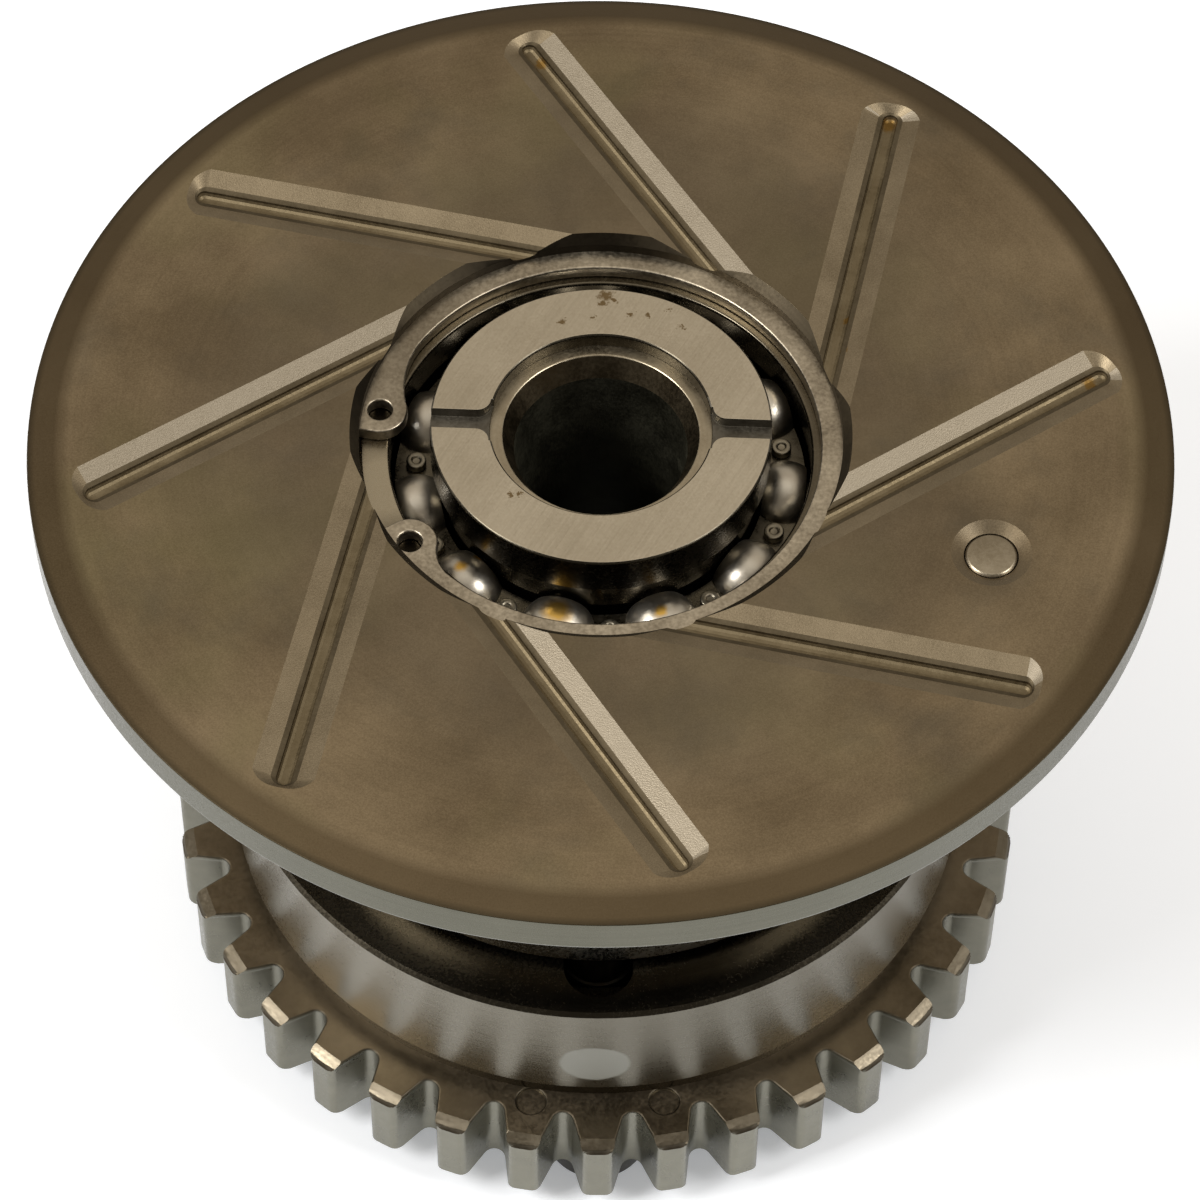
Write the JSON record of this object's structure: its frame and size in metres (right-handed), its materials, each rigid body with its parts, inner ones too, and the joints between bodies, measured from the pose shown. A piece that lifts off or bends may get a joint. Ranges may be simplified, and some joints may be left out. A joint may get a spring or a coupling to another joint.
{
  "type": "cam phaser",
  "caption": "Magnetically braked cam phaser: a grooved brake disc on a ball bearing steers links through a spiral plate, which turn the camshaft hub against its chain sprocket.",
  "frame": {"origin": "on the axis of rotation, in the plane of the rear screw heads that the part stands on", "axes": "+Z is the axis of rotation and points from the sprocket to the brake disc, and the sprocket's marked tooth is at -Y"},
  "size_m": [0.13, 0.13, 0.0905],
  "materials": {
    "chain_sprocket": "hardened steel, lightly oiled",
    "guide_drum": "turned steel, lightly oiled",
    "rear_screws": "blackened steel",
    "spring_anchor_pin": "ground steel",
    "brake_disc": "satin friction face with oil film",
    "spiral_plate": "machined steel",
    "disc_dowel": "ground steel",
    "retaining_ring": "phosphated spring steel",
    "bearing_outer_ring": "ground bearing steel",
    "return_spring": "spring steel",
    "bearing_balls": "polished bearing steel",
    "cage_front": "pressed steel, oiled",
    "cage_rear": "pressed steel, oiled",
    "cage_rivets": "steel",
    "camshaft_hub": "turned steel",
    "front_collar": "ground face with rust specks",
    "bearing_inner_ring": "ground bearing steel",
    "lever_pins": "ground steel",
    "link_1": "hardened steel",
    "guide_pin_1": "ground steel",
    "guide_spring_1": "spring steel",
    "link_2": "hardened steel",
    "guide_pin_2": "ground steel",
    "guide_spring_2": "spring steel",
    "link_3": "hardened steel",
    "guide_pin_3": "ground steel",
    "guide_spring_3": "spring steel"
  },
  "bodies": {
    "housing": {"chain_sprocket": "chain_sprocket", "guide_drum": "guide_drum", "rear_screws": "rear_screws", "spring_anchor_pin": "spring_anchor_pin", "return_spring": "return_spring"},
    "rotor": {"brake_disc": "brake_disc", "spiral_plate": "spiral_plate", "disc_dowel": "disc_dowel", "retaining_ring": "retaining_ring", "bearing_outer_ring": "bearing_outer_ring"},
    "cage": {"bearing_balls": "bearing_balls", "cage_front": "cage_front", "cage_rear": "cage_rear", "cage_rivets": "cage_rivets"},
    "hub": {"camshaft_hub": "camshaft_hub", "front_collar": "front_collar", "bearing_inner_ring": "bearing_inner_ring", "lever_pins": "lever_pins"},
    "linkage_1": {"link_1": "link_1", "guide_spring_1": "guide_spring_1"},
    "plunger_1": {"guide_pin_1": "guide_pin_1"},
    "linkage_2": {"link_2": "link_2", "guide_spring_2": "guide_spring_2"},
    "plunger_2": {"guide_pin_2": "guide_pin_2"},
    "linkage_3": {"link_3": "link_3", "guide_spring_3": "guide_spring_3"},
    "plunger_3": {"guide_pin_3": "guide_pin_3"}
  },
  "joints": [
    {"name": "disc_spin", "type": "hinge", "parent": "housing", "child": "rotor", "pos_m": [0, 0, 0.0836], "axis": [0, 0, 1], "range_deg": [0, 160], "stiffness_Nm_per_rad": 0.03, "springref_deg": -45.84, "deforming": ["return_spring"]},
    {"name": "cage_spin", "type": "hinge", "parent": "housing", "child": "cage", "pos_m": [0, 0, 0.07885], "axis": [0, 0, 1], "range_deg": [0, 100.2]},
    {"name": "hub_phase", "type": "hinge", "parent": "housing", "child": "hub", "pos_m": [0, 0, 0.0152], "axis": [0, 0, 1], "range_deg": [0, 16.02]},
    {"name": "link_1_swing", "type": "hinge", "parent": "hub", "child": "linkage_1", "pos_m": [0.01302, -0.01648, 0.0252], "axis": [0, 0, 1], "range_deg": [-32.04, 0]},
    {"name": "guide_pin_1_press", "type": "slide", "parent": "linkage_1", "child": "plunger_1", "axis": [0, 0, -1], "range_m": [0, 0.0008], "stiffness_N_per_m": 1500, "springref_m": -0.002, "deforming": ["guide_spring_1"]},
    {"name": "link_2_swing", "type": "hinge", "parent": "hub", "child": "linkage_2", "pos_m": [0.00777, 0.01951, 0.0252], "axis": [0, 0, 1], "range_deg": [-32.04, 0]},
    {"name": "guide_pin_2_press", "type": "slide", "parent": "linkage_2", "child": "plunger_2", "axis": [0, 0, -1], "range_m": [0, 0.0008], "stiffness_N_per_m": 1500, "springref_m": -0.002, "deforming": ["guide_spring_2"]},
    {"name": "link_3_swing", "type": "hinge", "parent": "hub", "child": "linkage_3", "pos_m": [-0.02078, -0.00303, 0.0252], "axis": [0, 0, 1], "range_deg": [-32.04, 0]},
    {"name": "guide_pin_3_press", "type": "slide", "parent": "linkage_3", "child": "plunger_3", "axis": [0, 0, -1], "range_m": [0, 0.0008], "stiffness_N_per_m": 1500, "springref_m": -0.002, "deforming": ["guide_spring_3"]}
  ],
  "couplings": [
    {"joint": "cage_spin", "follows": "disc_spin", "ratio": 0.6256},
    {"joint": "hub_phase", "follows": "disc_spin", "ratio": 0.1},
    {"joint": "link_1_swing", "follows": "disc_spin", "ratio": -0.2},
    {"joint": "link_2_swing", "follows": "disc_spin", "ratio": -0.2},
    {"joint": "link_3_swing", "follows": "disc_spin", "ratio": -0.2}
  ]
}
